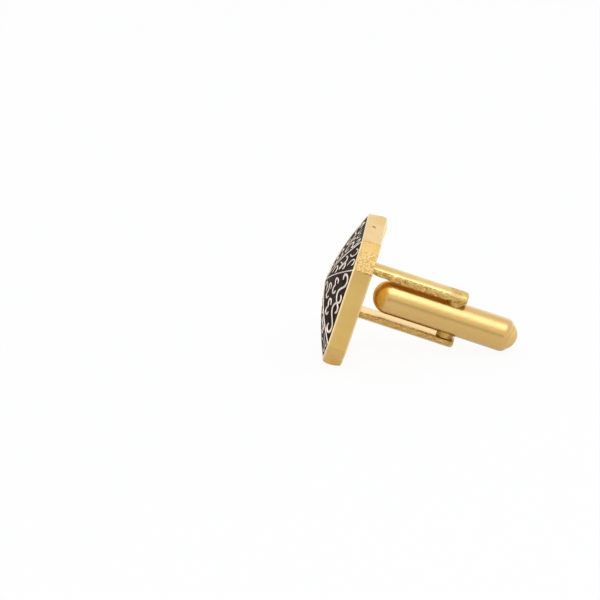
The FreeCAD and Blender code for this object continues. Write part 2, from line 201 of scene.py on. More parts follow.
SMALL_C = (0.28, (
    (0.59, 2.24), (0.16, 2.27), (-0.28, 2.07), (-0.45, 1.70), (-0.32, 1.36), (-0.01, 1.12), (0.29, 1.32),
))
CORNER_C = (0.26, (
    (4.96, 6.61), (5.26, 6.74), (5.58, 6.69), (5.69, 6.39), (5.53, 6.01), (5.15, 5.66), (4.77, 5.55),
    (4.42, 5.58),
))
CORNER_ARCH = (0.26, (
    (6.53, 5.01), (6.69, 5.26), (6.58, 5.58), (6.28, 5.72), (5.90, 5.50), (5.63, 5.09), (5.50, 4.50),
))
FORK_STEM = (0.37, (
    (4.93, 3.69), (5.04, 4.01), (4.88, 4.28), (4.55, 4.37), (4.23, 4.12), (4.01, 3.69), (3.85, 3.15),
))
FORK_ARM = (0.31, (
    (3.66, 4.88), (4.01, 5.04), (4.34, 4.93), (4.45, 4.61), (4.28, 4.23), (4.03, 3.82),
))
FORK_KNOT = (0.58, (
    (4.22, 4.06), (4.05, 3.72), (3.88, 3.24),
))
FORK_TICK = (0.25, (
    (3.97, 3.86), (3.53, 3.91), (3.26, 3.85), (3.04, 3.77),
))
INNER_ARCH = (0.29, (
    (3.18, 2.37), (3.26, 2.72), (3.10, 3.04), (2.83, 3.12), (2.45, 2.88), (2.18, 2.45), (2.04, 1.88),
))

# Camera, from the way the link stands in the photograph
CAMERA_AIM = Vector((0.9, -7.04, -3.14))
CAMERA_DISTANCE = 700
CAMERA_AZIMUTH = math.radians(88.72)
CAMERA_ELEVATION = math.radians(19.587)
CAMERA_ROLL = math.radians(18.527)
CAMERA_VIEW = math.radians(5.886)
CAMERA_CLIP = 10

# Floor, in metres: how much of its look is plain white to the eye and in the metal, and where the metal
# finds it dimmer, towards the camera, and brighter, beyond the toggle
FLOOR_HALF = 2.0
FLOOR_PAPER = (0.92, 0.92, 0.92, 1)
FLOOR_WHITE = 0.93
FLOOR_GLOSS = 0.45
DIM_FLOOR = 0.2
DIM_RANGE = (0.012, 0.08)
LIT_FLOOR = 0.3
LIT_RANGE = (0.018, 0.035)

# Surround: its strength as plain light, and how dim the room in the camera's direction is
SURROUND = 0.75
DIM_ROOM = 0.35
ROOM_RANGE = (0.94, 0.99)

# Soft lamps, in metres: name, place, width, height and brightness; each is a stack of smaller sheets
SOFTBOXES = (
    ("overhead_softbox", (0.125, 0.105, 0.30), 0.34, 0.26, 1.9),
    ("front_softbox", (-0.04, -0.40, 0.16), 0.36, 0.36, 1.4),
    ("rear_softbox", (-0.50, 0.07, 0.17), 0.4, 0.3, 0.25),
)
SOFT_SHARES = (1, 0.8, 0.62, 0.46)
SHEET_STEP = 0.03
LAMP_AIM = Vector((0, 0, 0.006))
COOL = (0.78, 0.82, 1)


def named(rows, name):
    """The row of a list in the frame that has a name."""
    return next(row for row in rows if row["name"] == name)


def link_frame():
    """The step from the link's frame in millimetres to the row's frame in metres."""
    seat = named(frame["record"]["mounts"], "cuff_seat")
    swivel = named(frame["joints"], "toggle_swivel")
    along, up = Vector(seat["axis"]), Vector(swivel["axis"])
    axes = Matrix((along.cross(up), along, up)).transposed().to_4x4()
    back_centre = Vector(seat["pos_m"]) - up * POST_RISE * MM
    return Matrix.Translation(back_centre) @ axes @ Matrix.Scale(MM, 4)


LINK = link_frame()


def link_box(node):
    """A node's lowest and highest corners in the link's frame."""
    back = LINK.inverted()
    points = [back @ v.co for v in frame["nodes"][node].data.vertices]
    low, high = (Vector(pick(p[k] for p in points) for k in range(3)) for pick in (min, max))
    return low, high


HALF = link_box("head_casting")[1].x
SIDE_RUN = HALF - CORNER_CUT
CORNER_REACH = HALF + SIDE_RUN
LIP_SHARE = 1 - LIP_WIDTH / HALF
PANELS = ("top", "upper_right", "right", "lower_right", "bottom", "lower_left", "left", "upper_left")
PANEL_TURN = math.pi / 4


class Wire:
    """A node's output; arithmetic on it adds Math nodes."""

    def __init__(self, shading, socket):
        self.shading = shading
        self.socket = socket

    def math(self, operation, first, second=None):
        return self.shading.node("ShaderNodeMath", {"operation": operation}, {0: first, 1: second})

    def __add__(self, other):
        return self.math("ADD", self, other)

    def __sub__(self, other):
        return self.math("SUBTRACT", self, other)

    def __rsub__(self, other):
        return self.math("SUBTRACT", other, self)

    def __mul__(self, other):
        return self.math("MULTIPLY", self, other)

    def __abs__(self):
        return self.math("ABSOLUTE", self)

    def most(self, other):
        return self.math("MAXIMUM", self, other)

    __radd__ = __add__
    __rmul__ = __mul__

    def step(self, start, stop):
        """0 before start and 1 after stop, with a soft change between them."""
        settings = {"interpolation_type": "SMOOTHSTEP"}
        sockets = {"Value": self, "From Min": start, "From Max": stop}
        return self.shading.node("ShaderNodeMapRange", settings, sockets)

    def other(self, name):
        """Another output of the same node."""
        return Wire(self.shading, self.socket.node.outputs[name])


class Shading:
    """The nodes of a material or of the world."""

    def __init__(self, owner):
        owner.use_nodes = True
        self.tree = owner.node_tree

    def node(self, kind, settings=None, sockets=None, output=0):
        made = self.tree.nodes.new(kind)
        for name, value in (settings or {}).items():
            setattr(made, name, value)
        for name, value in (sockets or {}).items():
            self.feed(made.inputs[name], value)
        return Wire(self, made.outputs[output])

    def feed(self, socket, value):
        if isinstance(value, Wire):
            self.tree.links.new(value.socket, socket)
        elif value is not None:
            socket.default_value = value


class Finish(Shading):
    """A material under construction, with the link's millimetres as its place."""

    def __init__(self, name):
        self.material = bpy.data.materials.new(name)
        super().__init__(self.material)
        self.shader = self.tree.nodes["Principled BSDF"]
        at = self.node("ShaderNodeTexCoord", output="Object")
        self.place = self.node("ShaderNodeMapping", {"vector_type": "TEXTURE"}, {
            "Vector": at, "Location": LINK.translation,
            "Rotation": LINK.to_euler(), "Scale": (MM, MM, MM),
        })

    def set(self, **values):
        """Feeds the shader's sockets, named in small letters with _ for a space."""
        for name, value in values.items():
            socket = next(s for s in self.shader.inputs if s.name.lower().replace(" ", "_") == name)
            self.feed(socket, value)
        return self

    def lacquer(self, tone, roughness, clear=0.25, coat_ior=1.85):
        """Plated metal under a thin clear lacquer."""
        return self.set(
            base_color=tone, metallic=1.0, roughness=roughness, coat_weight=clear, coat_roughness=0.2,
            coat_ior=coat_ior,
        )

    def axes(self):
        """The place's three coordinates."""
        x = self.node("ShaderNodeSeparateXYZ", None, {"Vector": self.place})
        return x, x.other("Y"), x.other("Z")

    def stretched(self, *scale):
        """The place, multiplied along each axis."""
        sockets = {0: self.place, 1: scale}
        return self.node("ShaderNodeVectorMath", {"operation": "MULTIPLY"}, sockets)

    def noise(self, scale, detail=3.0, roughness=0.55, place=None):
        """Cloudy unevenness from 0 to 1; scale is its waves per millimetre."""
        sockets = {
            "Vector": place or self.place, "Scale": scale, "Detail": detail, "Roughness": roughness,
        }
        return self.node("ShaderNodeTexNoise", None, sockets)

    def cells(self, scale):
        """The distance to the nearest of scattered points, in shares of a cell."""
        sockets = {"Vector": self.place, "Scale": scale}
        return self.node("ShaderNodeTexVoronoi", {"feature": "F1"}, sockets, "Distance")

    def near(self, point, inner, outer):
        """1 within inner of a point and 0 beyond outer."""
        sockets = {0: self.place, 1: point}
        away = self.node("ShaderNodeVectorMath", {"operation": "DISTANCE"}, sockets, "Value")
        return 1 - away.step(inner, outer)

    def blend(self, first, second, share):
        """A colour between two others."""
        settings = {"data_type": "RGBA"}
        sockets = {0: share, 6: first, 7: second}
        return self.node("ShaderNodeMix", settings, sockets, 2)

    def bump(self, *layers):
        """Raised detail: each layer is a height from 0 to 1 and its depth in millimetres."""
        normal = None
        for height, depth in layers:
            sockets = {"Height": height, "Distance": depth * MM, "Normal": normal}
            normal = self.node("ShaderNodeBump", None, sockets)
        self.set(normal=normal)
        return self


def rgb(red, green, blue):
    """A colour written as it shows on a screen, from 0 to 255."""
    def linear(level):
        level /= 255
        return level / 12.92 if level <= 0.04045 else ((level + 0.055) / 1.055) ** 2.4
    return linear(red), linear(green), linear(blue), 1


GOLD = rgb(220, 181, 99)
GOLD_PALE = rgb(226, 189, 110)
GOLD_DEEP = rgb(200, 153, 62)
# Painted light: a brighter tone for the head's back face
BACK_PAINTED_BRIGHT = rgb(248, 210, 118)
BARREL_GOLD = rgb(212, 168, 66)
BARREL_PALE = rgb(218, 177, 80)
# Painted shade, for pits, the crease, the upper corner walls and the posts' crevices
GOLD_PAINTED_SHADE = rgb(64, 42, 16)
POST_GOLD = rgb(220, 186, 110)
POST_PALE = rgb(229, 200, 134)
# Painted light on the posts' inner faces: paler on the lower post, warmer and brighter on the upper
INNER_PAINTED_PALE = rgb(240, 204, 124)
INNER_PAINTED_WARM = rgb(255, 204, 96)
# Pale from wear and partly as a painted highlight
RUBBED_HIGHLIGHT = rgb(235, 221, 205)
RUBBED_HIGHLIGHT_DIM = rgb(202, 184, 166)
# Painted shade: the tan of the scrolls' sides
SCROLL_SIDE_SHADE = rgb(166, 130, 88)
# Painted highlight: the pale tone of the lip's line, the back edge's line and the pebbles
PALE_HIGHLIGHT = rgb(238, 214, 156)
HUB_DULL = rgb(150, 134, 112)


def cast_gold():
    """The head's plating: satin walls, pebbled upper corners and casting pits in the top wall."""
    finish = Finish("cast_gold")
    x, y, z = finish.axes()
    # Where things are: crests, corners, back, pebbles, walls, the crease between corner and side walls, the back
    # edge's painted highlight and the pits
    broad = finish.noise(0.3)
    fine = finish.noise(7.0, 4.0)
    reach = abs(x) + abs(z)
    share = abs(x).most(abs(z)).most(reach * (HALF / CORNER_REACH)) * (1 / HALF)
    crest = (1 - share.step(LIP_SHARE - 0.01, LIP_SHARE)) * (1 - y.step(-1.4, -1.2))
    corner = reach.step(CORNER_REACH - 0.12, CORNER_REACH - 0.04)
    upper = z.step(0, 2)
    back = y.step(-0.05, -0.01)
    sideways = abs(x) - abs(z)
    pebbled = corner * (sideways + broad * 4).step(-0.2, 2.2) * upper
    pebble = finish.cells(3.4)
    groove = pebble.step(0.4, 0.7) * pebbled
    wall = share.step(0.975, 0.985)
    # The crease between the corner and side walls, where shade is painted
    crease_shade = (1 - abs(sideways - CORNER_CUT).step(0.03, 0.16)) * upper * y.step(-1.8, -0.4) * wall
    # The back edge, where a pale line is painted as a highlight
    dressed = y.step(-0.17, -0.12) * (1 - y.step(-0.03, -0.005)) * wall
    pit = 0
    for across, along, floor_reach, edge_reach, dark in PITS:
        pit = (finish.near((across, along, HALF), floor_reach, edge_reach) * dark).most(pit)
    skin = finish.noise(1.8, 3.0)
    # Tones: the plating's patches, then painted light on the back face, painted highlights and painted shade; then
    # the lip's painted highlight and the crests, pale from wear and from a painted highlight
    tone = finish.blend(GOLD, GOLD_PALE, broad.step(0.35, 0.7))
    tone = finish.blend(tone, GOLD_DEEP, fine.step(0.58, 0.8) * 0.4)
    # Painted light: the back face is painted brighter, so that the toggle's dome reflects it brighter
    tone = finish.blend(tone, BACK_PAINTED_BRIGHT, back)
    # Painted highlights: the pebbles a little paler, and a pale line along the back edge
    tone = finish.blend(tone, PALE_HIGHLIGHT, (pebbled * 0.25).most(dressed))
    # Painted shade: the grooves between the pebbles are painted darker
    tone = finish.blend(tone, GOLD_DEEP, groove * 0.8)
    # Painted shade: darker in the pits, along the crease and a little over the upper corner walls
    tone = finish.blend(tone, GOLD_PAINTED_SHADE, pit.most(crease_shade * 0.42).most(corner * upper * 0.1))
    # The crests: pale from wear and partly as a painted highlight, duller near the hub
    rubbed_and_highlit = finish.blend(RUBBED_HIGHLIGHT, RUBBED_HIGHLIGHT_DIM, broad.step(0.35, 0.7))
    rubbed_and_highlit = finish.blend(HUB_DULL, rubbed_and_highlit, share.step(0.02, 0.14))
    # Painted highlight: a pale line along the lip
    tone = finish.blend(tone, PALE_HIGHLIGHT, 1 - y.step(-RIM_DEPTH - 0.12, -RIM_DEPTH + 0.14))
    tone = finish.blend(tone, rubbed_and_highlit, crest)
    finish.lacquer(tone, 0.27 + fine * 0.08 + corner * 0.26 - pebbled * 0.12 + pit * 0.3 + back * 0.08)
    return finish.bump(
        (fine, 0.004), (skin, 0.014), (broad, 0.05), ((1 - pebble) * pebbled, 0.09), (1 - pit, 0.12)
    ).material


def satin_gold():
    """The barrel's plating, with faint polishing lines along it."""
    finish = Finish("satin_gold")
    broad = finish.noise(0.25)
    lines = finish.noise(1.0, 4.0, 0.6, finish.stretched(9.0, 0.5, 9.0))
    fine = finish.noise(12.0, 2.0)
    tone = finish.blend(BARREL_GOLD, BARREL_PALE, broad.step(0.35, 0.7) * 0.6)
    tone = finish.blend(tone, GOLD_DEEP, lines.step(0.52, 0.75) * 0.4)
    cloud = finish.noise(1.0, 3.0, 0.6, finish.stretched(0.9, 0.55, 0.9))
    finish.lacquer(tone, 0.28 + lines * 0.06 + cloud * 0.08, clear=1.0, coat_ior=2.0)
    return finish.bump((cloud, 0.05), (lines, 0.003), (fine, 0.001)).material


def post_gold():
    """The posts' plating: smooth outside, torn and grainy along the sheared sides and ends, with painted shade in
    their crevices and painted light on the inner faces.
    """
    finish = Finish("post_gold")
    x, y, z = finish.axes()
    low, high = link_box("upper_post")
    gap = low.z - POST_RISE
    away = abs(z - POST_RISE)
    tip = y.step(high.y - 0.4, high.y - 0.2)
    edge = (abs(x).step(high.x - 0.2, high.x - 0.03) * (1 - tip * 0.6)).most(tip * 0.4)
    washer = 1 - away.step(gap - 0.1, gap - 0.05)
    inside = (1 - away.step(gap + 0.02, gap + 0.05)) * (1 - edge) * (1 - washer)
    over = inside * z.step(0, 1)
    torn = finish.noise(1.0, 4.0, 0.65, finish.stretched(3.0, 1.8, 3.4))
    broad = finish.noise(0.4)
    fine = finish.noise(8.0, 3.0)
    peen = finish.near(PEEN_PLACE, 0.7, 1.4)
    rough = edge.most(peen).most(washer)
    tone = finish.blend(POST_GOLD, POST_PALE, broad.step(0.35, 0.7))
    # Painted light: the lower post's inner face painted paler, as painted reflection of the white surround, and
    # the upper one warmer, as light bounced into the gap above the toggle
    tone = finish.blend(tone, finish.blend(INNER_PAINTED_PALE, INNER_PAINTED_WARM, over), inside)
    tone = finish.blend(tone, GOLD_DEEP, rough * (0.25 + torn.step(0.4, 0.64) * 0.6))
    # Painted shade in the crevices of the torn sides, the ends, the peened spot and the washers
    tone = finish.blend(tone, GOLD_PAINTED_SHADE, rough * torn.step(0.58, 0.7) * 0.3)
    finish.lacquer(tone, 0.25 + fine * 0.08 + rough * 0.1 + over * 0.25)
    finish.set(metallic=1 - over * 0.5)
    return finish.bump((torn * rough, 0.24), (fine, 0.004)).material


def polished_gold():
    """The plug's plating, paler and smoother than the barrel's."""
    finish = Finish("polished_gold")
    broad = finish.noise(0.5)
    fine = finish.noise(9.0, 3.0)
    tone = finish.blend(GOLD_PALE, GOLD, broad.step(0.4, 0.7))
    finish.lacquer(tone, 0.28 + fine * 0.1)
    return finish.bump((fine, 0.003)).material


def scroll_gold():
    """The raised scrolls' plating, pale from wear where hands and cloth reach it and partly as a painted
    highlight, with painted shade in a tan on the sides that turn from the front.
    """
    finish = Finish("scroll_gold")
    broad = finish.noise(0.6)
    fine = finish.noise(8.0, 3.0)
    normal = finish.node("ShaderNodeNewGeometry", output="Normal")
    front = LINK.to_3x3().normalized() @ Vector((0, -1, 0))
    facing = finish.node(
        "ShaderNodeVectorMath", {"operation": "DOT_PRODUCT"}, {0: normal, 1: front}, "Value"
    )
    # Pale from wear and partly as a painted highlight
    tone = finish.blend(RUBBED_HIGHLIGHT, RUBBED_HIGHLIGHT_DIM, broad.step(0.38, 0.68))
    # Painted shade: the scrolls' sides that turn away from the front are painted tan
    tone = finish.blend(SCROLL_SIDE_SHADE, tone, facing.step(0.4, 0.85))
    finish.set(base_color=tone, metallic=1.0, roughness=0.26 + fine * 0.14)
    return finish.bump((fine, 0.008)).material


def bare_brass():
    """The hidden plunger's turned brass."""
    finish = Finish("bare_brass")
    rings = finish.noise(1.0, 3.0, 0.5, finish.stretched(2.0, 14.0, 2.0))
    dull = finish.noise(0.8)
    tone = finish.blend(rgb(184, 146, 76), rgb(150, 112, 56), dull.step(0.35, 0.7))
    finish.set(base_color=tone, metallic=1.0, roughness=0.3 + rings * 0.15)
    return finish.bump((rings, 0.006)).material


def spring_steel():
    """The hidden spring's drawn wire."""
    finish = Finish("spring_steel")
    drawn = finish.noise(4.0, 3.0)
    tone = finish.blend(rgb(148, 148, 150), rgb(104, 102, 104), drawn.step(0.4, 0.7))
    finish.set(base_color=tone, metallic=1.0, roughness=0.28 + drawn * 0.16)
    return finish.bump((drawn, 0.004)).material


def black_enamel():
    """Brown-black enamel with fine dust, pinholes and a soft waviness."""
    finish = Finish("black_enamel")
    broad = finish.noise(0.5)
    dust = finish.noise(14.0, 2.0)
    # Lighter patches: partly a tone that differs at random, partly painted sheen
    tone = finish.blend(rgb(24, 15, 11), rgb(56, 44, 38), broad.step(0.3, 0.7))
    tone = finish.blend(tone, rgb(92, 76, 66), dust.step(0.66, 0.8) * 0.4)
    finish.set(base_color=tone, roughness=0.36 + broad * 0.12, specular_ior_level=0.015)
    return finish.bump((broad, 0.02), (dust, 0.004)).material


FINISHES = {
    "cast_gold": cast_gold(),
    "satin_gold": satin_gold(),
    "post_gold": post_gold(),
    "polished_gold": polished_gold(),
    "scroll_gold": scroll_gold(),
    "bare_brass": bare_brass(),
    "spring_steel": spring_steel(),
    "black_enamel": black_enamel(),
}


def smooth(mesh, bend):
    """Smooth shading, with the edges that bend by more than some degrees kept sharp."""
    mesh.shade_smooth()
    mesh.set_sharp_from_angle(angle=math.radians(bend))


def piece(name, bm, body, slot, finish=None, bend=SHARP_BEND):
    """Puts a mesh made in the link's frame into the scene, riding on a body."""
    bm.transform(LINK)
    mesh = bpy.data.meshes.new(name)
    bm.to_mesh(mesh)
    bm.free()
    smooth(mesh, bend)
    mesh.materials.append(FINISHES[finish or slot])
    made = bpy.data.objects.new(name, mesh)
    scene.collection.objects.link(made)
    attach(made, body)
    return made


def ramp(value, start, stop):
    """0 before start and 1 after stop, straight between them."""
    return max(0, min(1, (value - start) / (stop - start)))


def verts_of(geom):
    """The vertices among the parts that a mesh operator made."""
    return [v for v in geom if isinstance(v, bmesh.types.BMVert)]


def drawn_out(bm, face):
    """Extrudes a face; returns the new face and its vertices, still in the old place."""
    made = bmesh.ops.extrude_face_region(bm, geom=[face] + face.edges[:])["geom"]
    verts = verts_of(made)
    front = next(f for f in made if isinstance(f, bmesh.types.BMFace) and set(f.verts) == set(verts))
    return front, verts


def face_share(x, z):
    """How far out a point of the face lies, from 0 at its centre to 1 at the octagon's edge."""
    across, up = abs(x), abs(z)
    return max(across, up, (across + up) * HALF / CORNER_REACH) / HALF


def dome_level(share):
    """Where the ridges' level lies at a share of the way out."""
    return -RIM_DEPTH - DOME_RISE * (1 - share ** DOME_POWER)


def panel_sides(index):
    """A panel's distance from the face's centre and half its length along the rim."""
    if index % 2:
        return CORNER_REACH / math.sqrt(2), CORNER_CUT / math.sqrt(2)
    return HALF, SIDE_RUN


def on_panel(index, reach, beside):
    """A point of the face, from how far out along a panel's middle and how far beside it lies."""
    turn = index * PANEL_TURN
    x = reach * math.sin(turn) + beside * math.cos(turn)
    z = reach * math.cos(turn) - beside * math.sin(turn)
    return x, z


def clockwise(point):
    """A point's angle round the face, to sort by."""
    return math.atan2(point[0], point[2])


def face_ring(share, level, sunk=False):
    """One turn round the head: eight corners, each with the points of a ridge's section."""
    points = []
    for index in range(len(PANELS)):
        apothem, side = panel_sides(index)
        run = share * side
        lean = math.hypot(1, side / apothem)
        room = min(1, RIDGE_ROOM * run / (lean * RIDGE_FOOT))
        left = [(-run + room * lean * away, away, room * rise) for away, rise in RIDGE_SECTION]
        right = [(-beside, away, rise) for beside, away, rise in left[1:]]
        foot, away, rise = left[-1]
        for count in range(1, SIDE_STEPS):
            left.append((foot * (1 - 2 * count / SIDE_STEPS), away, rise))
        for beside, away, rise in left + right:
            x, z = on_panel(index, share * apothem, beside)
            kept = 1 - CORNER_EASE * (1 - away / RIDGE_FOOT) ** 2
            points.append((x * kept, level - (rise if sunk else 0), z * kept))
    return sorted(points, key=clockwise)


def uneven(point):
    """A point of the rim, moved as the rough casting is uneven there."""
    x, level, z = point
    kept = 1 + RIM_WOBBLE / HALF * noise.noise(Vector(point) * WOBBLE_PITCH)
    at_top = ramp(z, HALF - GATE_REACH, HALF)
    at_bottom = ramp(-z, HALF - GATE_REACH, HALF)
    stub = GATE_RISE * at_top * ramp(level, -GATE_REACH, 0) * (1 - ramp(abs(x - GATE_MIDDLE), 0, GATE_HALF))
    hump = HUMP_RISE * at_top * ramp(-x, HUMP_START, SIDE_RUN)
    hump *= 1 - ramp(abs(level + GATE_REACH), 0, HUMP_REACH)
    sag = SAG_DROP * at_bottom * ramp(x, 0, SIDE_RUN) * math.sin(math.pi * ramp(-level, 0, SAG_LENGTH))
    return x * kept, level + stub, z * kept + hump - sag


def rim_profile():
    """Shares and levels from the back face, round the back edge, up the wall and round the lip."""
    quarter = [math.pi / 2 * count / BACK_STEPS for count in range(BACK_STEPS + 1)]
    profile = [(1 - GATE_REACH / HALF, 0)] + [
        (1 - BACK_ROUND * (1 - math.sin(a)) / HALF, -BACK_ROUND * (1 - math.cos(a))) for a in quarter
    ]
    profile += [(1, -GATE_REACH - WALL_STEP * count) for count in range(WALL_RINGS)]
    slope = math.atan(DOME_RISE * DOME_POWER / HALF)
    centre = -RIM_DEPTH + RIM_ROUND * (1 / math.cos(slope) - math.tan(slope))
    for count in range(RIM_STEPS + 1):
        a = (math.pi / 2 - slope) * count / RIM_STEPS
        profile.append((1 - RIM_ROUND * (1 - math.cos(a)) / HALF, centre - RIM_ROUND * math.sin(a)))
    return profile + [(LIP_SHARE, dome_level(LIP_SHARE))]


def head():
    """The cast head: rim, dome, ridges and eight sunk cells in one skin, drawn in ring by ring."""
    rings = [[uneven(point) for point in face_ring(*place)] for place in rim_profile()]
    first = LIP_SHARE - CELL_DRAFT / HALF
    for count in range(DOME_STEPS + 1):
        share = first + (HUB_SHARE - first) * count / DOME_STEPS
        rings.append(face_ring(share, dome_level(share), sunk=True))
    hub = HUB_SHARE - CELL_DRAFT / HALF
    rings.append(face_ring(hub, dome_level(hub) - RIDGE_SECTION[0][1]))
    kept = CROWN_SHARE / hub
    crown = dome_level(CROWN_SHARE) - RIDGE_SECTION[0][1]
    rings.append([(x * kept, crown, z * kept) for x, level, z in rings[-1]])
    bm = bmesh.new()
    front = bm.faces.new([bm.verts.new(point) for point in rings[0]])
    for ring in rings[1:]:
        front, verts = drawn_out(bm, front)
        for v, point in zip(sorted(verts, key=lambda v: clockwise(v.co)), ring):
            v.co = point
    bmesh.ops.recalc_face_normals(bm, faces=bm.faces)
    made = piece("cast_head", bm, "link_frame", "cast_gold")
    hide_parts("head_casting")


def mirrored(across, up, *lines):
    """Scroll lines turned over to another part of the face."""
    return [(width, [(x * across, z * up) for x, z in points]) for width, points in lines]


def scroll_lines(name):
    """The scroll lines of a panel, each with its width."""
    across = -1 if "left" in name else 1
    up = -1 if "bottom" in name or "lower" in name else 1
    if name in ("left", "right"):
        paired = [LONG_S, OUTER_THREE]
        single = [INNER_THREE, SIDE_ARCH]
        lines = mirrored(across, 1, *paired, *single) + mirrored(across, -1, *paired)
    elif name in ("top", "bottom"):
        paired = [LYING_S, CUP, HEART_HALF]
        single = [BRACKET, SMALL_C]
        lines = mirrored(1, up, *paired, *single) + mirrored(-1, up, *paired)
    else:
        forks = [FORK_STEM, FORK_ARM, FORK_TICK, FORK_KNOT]
        arcs = [CORNER_C, CORNER_ARCH, INNER_ARCH]
        lines = mirrored(across, up, *forks, *arcs)
    return lines


def swell(knots, number):
    """A bead's width at a knot, as a share: tapered at the ends and full where its line bends."""
    if number in (0, len(knots) - 1):
        return BEAD_END
    before = knots[number] - knots[number - 1]
    after = knots[number + 1] - knots[number]
    return BEAD_THIN + BEAD_SWELL * min(1, before.angle(after) / BEAD_BEND)


def bead_mesh(lines):
    """Round beads along the lines, still flat, with their middles at y = 0."""
    curve = bpy.data.curves.new("bead_lines", "CURVE")
    curve.dimensions = "3D"
    curve.bevel_depth = 1
    curve.bevel_resolution = BEAD_SIDES
    curve.resolution_u = BEAD_STEPS
    curve.use_fill_caps = True
    for width, points in lines:
        radius = BEAD_WIDTH * width / 2
        knots = [Vector((x, 0, z)) for x, z in points]
        for start, after in ((0, 1), (-1, -2)):
            tip = knots[start] + (knots[start] - knots[after]).normalized() * radius * BEAD_END
            knots.insert(0 if start == 0 else len(knots), tip)
        spline = curve.splines.new("BEZIER")
        spline.bezier_points.add(len(knots) - 1)
        for number, (knot, place) in enumerate(zip(spline.bezier_points, knots)):
            knot.co = place
            knot.handle_left_type = "AUTO"
            knot.handle_right_type = "AUTO"
            knot.radius = radius * swell(knots, number)
    drawn = bpy.data.objects.new("bead_lines", curve)
    scene.collection.objects.link(drawn)
    mesh = bpy.data.meshes.new_from_object(drawn.evaluated_get(bpy.context.evaluated_depsgraph_get()))
    bm = bmesh.new()
    bm.from_mesh(mesh)
    bpy.data.objects.remove(drawn)
    bpy.data.curves.remove(curve)
    bpy.data.meshes.remove(mesh)
    bmesh.ops.remove_doubles(bm, verts=bm.verts, dist=1e-4)
    bmesh.ops.recalc_face_normals(bm, faces=bm.faces)
    return bm


def scrolls(name):
    """A panel's raised scrolls, flattened on top by wear and laid on its dome; returns where they run."""
    bm = bead_mesh(scroll_lines(name))
    run = KDTree(len(bm.verts))
    for number, v in enumerate(bm.verts):
        run.insert((v.co.x, 0, v.co.z), number)
        level = dome_level(face_share(v.co.x, v.co.z)) + ENAMEL_DROP
        v.co.y = level + BEAD_RISE * math.tanh(v.co.y / BEAD_RISE)
    run.balance()
    piece("scrolls_" + name, bm, "link_frame", "cast_gold", "scroll_gold", SCROLL_BEND)
    return run


def enamel(index, name, run):
    """A panel's enamel: it fills the cell, creeps up the walls and scrolls and slumps between them."""
    apothem, side = panel_sides(index)
    slope = side / apothem
    edge = RIDGE_FOOT * math.hypot(1, slope)
    nearest = (ENAMEL_POINT + edge) / slope
    outermost = apothem * LIP_SHARE
    bm = bmesh.new()
    bmesh.ops.create_grid(bm, x_segments=ENAMEL_COLUMNS, y_segments=ENAMEL_ROWS, size=1)
    for v in bm.verts:
        reach = nearest + (outermost - nearest) * (v.co.y + 1) / 2
        half = reach * slope - edge
        beside = v.co.x * half
        x, z = on_panel(index, reach, beside)
        wall = min(half - abs(beside), outermost - reach)
        away = min(wall, run.find((x, 0, z))[2])
        creep = CREEP_RISE * math.exp(-(away / CREEP_REACH) ** 2)
        wave = SLUMP * noise.noise(Vector((x, 0, z)))
        v.co = (x, dome_level(face_share(x, z)) + ENAMEL_DROP - creep + wave, z)
    made = bmesh.ops.extrude_face_region(bm, geom=list(bm.faces))["geom"]
    bmesh.ops.translate(bm, verts=verts_of(made), vec=(0, ENAMEL_DEPTH, 0))
    bmesh.ops.recalc_face_normals(bm, faces=bm.faces)
    made = piece("fill_" + name, bm, "link_frame", "black_enamel", bend=SOFT_BEND)
    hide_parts("enamel_" + name)


def post_section(bm, place, half, inner, outer):
    """The D section of a post with its corners rounded, as one face across y."""
    radius = (half ** 2 + POST_CROWN ** 2) / (2 * POST_CROWN)
    lean = math.asin(half / radius)
    turns = [lean * (1 - 2 * count / CROWN_STEPS) for count in range(CROWN_STEPS + 1)]
    section = [(radius * math.sin(a), place, outer - radius + radius * math.cos(a)) for a in turns]
    section += [(-half, place, inner), (half, place, inner)]
    verts = [bm.verts.new(point) for point in section]
    bm.faces.new(verts)
    bmesh.ops.bevel(
        bm, geom=[verts[0]] + verts[-3:], offset=POST_ROUND, segments=3, profile=0.5,
        affect="VERTICES", material=-1,
    )
    sides = [edge for edge in bm.edges if edge.calc_length() > 3 * half / CROWN_STEPS]
    bmesh.ops.subdivide_edges(bm, edges=sides, cuts=SIDE_CUTS)
    return bm.faces[:][0]


